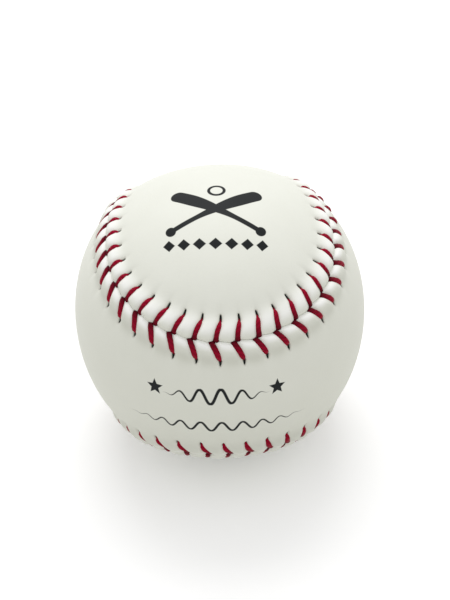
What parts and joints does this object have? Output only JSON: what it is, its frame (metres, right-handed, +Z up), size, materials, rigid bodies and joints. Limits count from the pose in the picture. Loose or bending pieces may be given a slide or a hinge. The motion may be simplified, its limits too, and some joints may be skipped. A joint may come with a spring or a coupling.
{
  "type": "softball",
  "caption": "Off-white softball: two figure-eight cover panels sewn with crimson thread along a raised seam, over a wound core.",
  "frame": {"origin": "centre of the ball", "axes": "+Z up through the middle of panel 1's upper lobe, -Y out of the middle of panel 2's front waist, +X out of the middle of panel 2's right lobe"},
  "size_m": [0.096, 0.096, 0.096],
  "materials": {
    "cork_rubber": "moulded cork and rubber, matte",
    "yarn": "twisted yarn, wound",
    "latex": "dried latex cement",
    "backing_cloth": "knitted textile backing",
    "cover_leather": "smooth off-white synthetic leather, fine grain",
    "waxed_thread": "waxed twisted thread, slight sheen"
  },
  "bodies": {
    "root": {"core": "cork_rubber", "yarn_winding": "yarn", "cement_coat_1": "latex", "cement_coat_2": "latex", "cover_backing_1": "backing_cloth", "cover_backing_2": "backing_cloth", "cover_panel_1": "cover_leather", "cover_panel_2": "cover_leather", "lacing_thread_1": "waxed_thread", "lacing_thread_2": "waxed_thread"}
  },
  "joints": []
}
